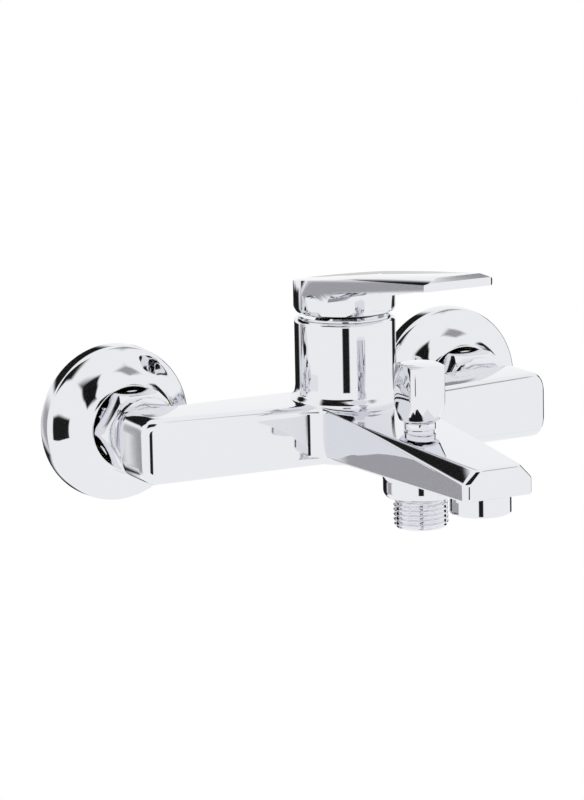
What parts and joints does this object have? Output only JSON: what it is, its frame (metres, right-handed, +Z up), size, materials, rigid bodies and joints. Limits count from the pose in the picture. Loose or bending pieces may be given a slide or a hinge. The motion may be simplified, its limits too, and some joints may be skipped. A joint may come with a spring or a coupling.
{
  "type": "wall mounted bath faucet",
  "caption": "Single-lever bath mixer for a wall: two flat arms on round rosettes, upright column with flat lever, chamfered spout, pull-up diverter knob and threaded hose outlet.",
  "frame": {"origin": "wall plane midway between the two inlet axes", "axes": "+X along the arms to the viewer's right, +Y into the wall, +Z up"},
  "size_m": [0.2116, 0.185, 0.1007],
  "materials": {
    "chrome": "polished",
    "brass": "machined",
    "rubber": "matt",
    "plastic": "moulded",
    "ceramic": "lapped",
    "steel": "machined"
  },
  "bodies": {
    "mixer": {"mixer_body": "chrome", "rosette_left": "chrome", "rosette_right": "chrome", "s_union_left": "brass", "s_union_right": "brass", "union_washer_left": "rubber", "union_washer_right": "rubber", "trim_ring": "chrome", "retaining_nut": "brass", "cartridge_housing": "plastic", "cartridge_base": "plastic", "base_seal": "rubber", "fixed_disc": "ceramic", "diverter_bonnet": "chrome", "bonnet_o_ring": "rubber", "diverter_spring": "steel", "hose_nipple": "chrome", "check_cage": "plastic", "aerator_housing": "chrome", "aerator_insert": "plastic", "aerator_washer": "rubber"},
    "nut_left": {"union_nut_left": "chrome"},
    "nut_right": {"union_nut_right": "chrome"},
    "carrier": {"stem_carrier": "plastic", "hinge_pin": "steel"},
    "lever": {"lever_stem": "steel", "lever_handle": "chrome", "grub_screw": "steel", "screw_plug": "chrome"},
    "disc": {"moving_disc": "ceramic"},
    "diverter": {"diverter_stem": "steel", "diverter_knob": "chrome", "knob_screw": "steel", "diverter_seal": "rubber"},
    "poppet": {"check_poppet": "rubber"}
  },
  "joints": [
    {"name": "nut_left_spin", "type": "hinge", "parent": "mixer", "child": "nut_left", "pos_m": [-0.075, -0.02, 0], "axis": [0, -1, 0], "continuous": true},
    {"name": "nut_right_spin", "type": "hinge", "parent": "mixer", "child": "nut_right", "pos_m": [0.075, -0.02, 0], "axis": [0, -1, 0], "continuous": true},
    {"name": "lever_swing", "type": "hinge", "parent": "mixer", "child": "carrier", "pos_m": [0, -0.055, 0.036], "axis": [0, 0, 1], "range_deg": [-50, 50]},
    {"name": "lever_lift", "type": "hinge", "parent": "carrier", "child": "lever", "pos_m": [0, -0.055, 0.036], "axis": [-1, 0, 0], "range_deg": [0, 15]},
    {"name": "disc_slide", "type": "slide", "parent": "carrier", "child": "disc", "axis": [0, -1, 0], "range_m": [0, 0.003]},
    {"name": "diverter_lift", "type": "slide", "parent": "mixer", "child": "diverter", "axis": [0, 0, 1], "range_m": [0, 0.005], "stiffness_N_per_m": 150, "springref_m": -0.004, "deforming": ["diverter_spring"]},
    {"name": "check_lift", "type": "slide", "parent": "mixer", "child": "poppet", "axis": [0, 0, 1], "range_m": [0, 0.0025]}
  ],
  "couplings": [
    {"joint": "disc_slide", "follows": "lever_lift", "m_per_rad": 0.0113}
  ]
}
